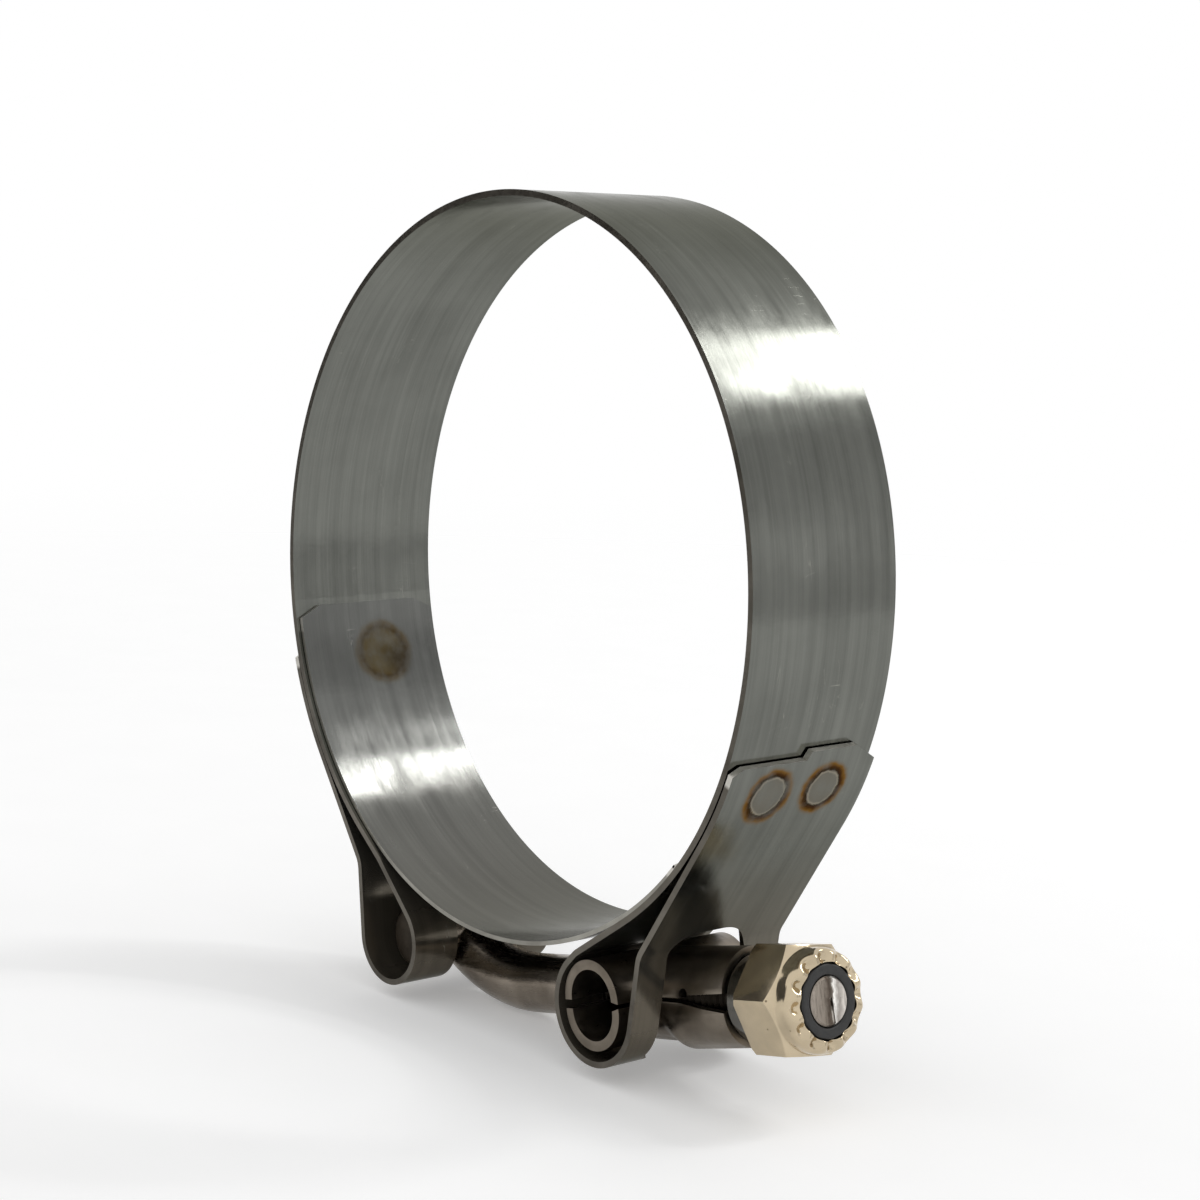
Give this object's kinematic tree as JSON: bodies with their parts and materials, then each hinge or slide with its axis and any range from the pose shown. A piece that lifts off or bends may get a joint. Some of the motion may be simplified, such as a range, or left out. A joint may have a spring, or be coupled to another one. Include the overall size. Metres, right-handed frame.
{
  "type": "t bolt clamp",
  "caption": "Stainless T bolt hose clamp: spot welded band with two loops, inner bridge strip, bent T bolt, pressed trunnion and lock nut.",
  "frame": {"origin": "centre of the ring, on the hose's axis and in the middle of the band's width", "axes": "+Y along the hose's axis, +Z from the bolt's side to the ring's far side, +X towards the nut"},
  "size_m": [0.0795, 0.019, 0.088],
  "materials": {
    "band_steel": "dark brushed stainless sheet with spot welds",
    "liner_steel": "thin brushed stainless sheet",
    "bolt_steel": "bright drawn steel with a rolled thread",
    "trunnion_steel": "pressed and tumbled steel sheet",
    "nut_steel": "bright pale gold plated steel",
    "nylon": "matt black nylon"
  },
  "bodies": {
    "band": {"band": "band_steel", "bridge_liner": "liner_steel"},
    "t_bolt": {"t_bolt": "bolt_steel"},
    "trunnion": {"trunnion_upper": "trunnion_steel", "trunnion_lower": "trunnion_steel"},
    "insert": {"nylon_insert": "nylon"},
    "nut": {"lock_nut": "nut_steel"}
  },
  "joints": [
    {"name": "t_bolt_pivot", "type": "hinge", "parent": "band", "child": "t_bolt", "pos_m": [-0.01637, 0, -0.04253], "axis": [0, 1, 0], "range_deg": [-0.5, 0.5]},
    {"name": "trunnion_pivot", "type": "hinge", "parent": "band", "child": "trunnion", "pos_m": [0.01693, 0, -0.04139], "axis": [0, 1, 0], "range_deg": [-1.5, 1.5]},
    {"name": "nut_travel", "type": "slide", "parent": "t_bolt", "child": "insert", "axis": [0.9794, 0, 0.2019], "range_m": [0, 0.0069]},
    {"name": "nut_turn", "type": "hinge", "parent": "insert", "child": "nut", "pos_m": [0.0322, 0, -0.03824], "axis": [0.9794, 0, 0.2019], "range_deg": [0, 2700]}
  ],
  "couplings": [
    {"joint": "nut_travel", "follows": "nut_turn", "m_per_rad": 0.00014438}
  ]
}
